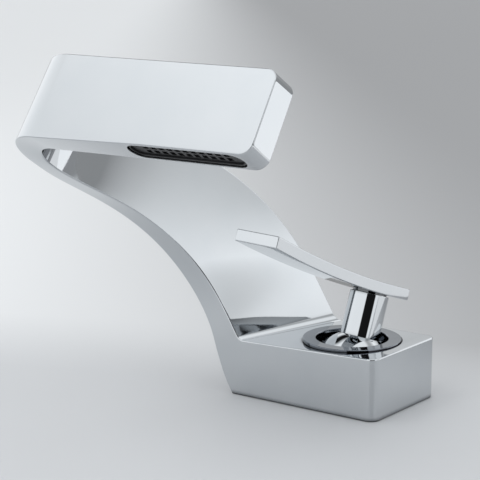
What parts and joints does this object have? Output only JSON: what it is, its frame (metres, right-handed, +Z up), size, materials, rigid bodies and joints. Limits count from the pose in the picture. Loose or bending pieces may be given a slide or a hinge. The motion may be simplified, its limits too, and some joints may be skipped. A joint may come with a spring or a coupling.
{
  "type": "basin mixer faucet",
  "caption": "Single-lever waterfall basin mixer: a ribbon spout rises from a deck block and folds into a slab over the basin, with a joystick lever.",
  "frame": {"origin": "on the lever axis at the deck plane, which is the centre of the deck hole", "axes": "+Z up from the deck, -Y towards the basin, +X along the block towards its free end and along the spout slab towards its free end"},
  "size_m": [0.1431, 0.1519, 0.225],
  "materials": {
    "chrome": "mirror-polished chrome plate",
    "dark_chrome": "dark satin chrome plate",
    "brass": "machined",
    "steel": "machined",
    "rubber": "matt",
    "black_plastic": "fine satin",
    "white_plastic": "satin moulded",
    "grey_plastic": "satin moulded",
    "ceramic": "lapped alumina ceramic"
  },
  "bodies": {
    "body": {"faucet_body": "chrome", "outlet_frame": "black_plastic", "outlet_grille": "black_plastic", "cartridge_base": "grey_plastic", "hot_port_seal": "rubber", "cold_port_seal": "rubber", "fixed_disc": "ceramic", "cartridge_housing": "white_plastic", "cartridge_o_ring": "rubber", "cartridge_nut": "brass", "cover_ring": "dark_chrome", "cover_ring_seal": "rubber", "base_seal": "rubber", "fixing_stud": "steel", "rubber_washer": "rubber", "clamp_plate": "steel", "fixing_nut": "brass"},
    "swivel": {"spindle_guide": "grey_plastic", "pivot_pin": "steel"},
    "lever": {"spindle": "steel", "ball_cover": "chrome", "stem": "chrome", "lever_blade": "chrome", "set_screw": "steel", "screw_plug": "chrome"},
    "disc": {"moving_disc": "ceramic", "disc_carrier": "grey_plastic"}
  },
  "joints": [
    {"name": "lever_swivel", "type": "hinge", "parent": "body", "child": "swivel", "pos_m": [0, 0, 0.014], "axis": [0, 0, 1], "range_deg": [-35, 55]},
    {"name": "lever_tilt", "type": "hinge", "parent": "swivel", "child": "lever", "pos_m": [0, 0, 0.014], "axis": [-0.9848, 0.1736, 0], "range_deg": [-19.3, 3]},
    {"name": "disc_slide", "type": "slide", "parent": "swivel", "child": "disc", "axis": [-0.1736, -0.9848, 0], "range_m": [-0.0014, 0.00022]}
  ],
  "couplings": [
    {"joint": "disc_slide", "follows": "lever_tilt", "m_per_rad": 0.0041}
  ]
}
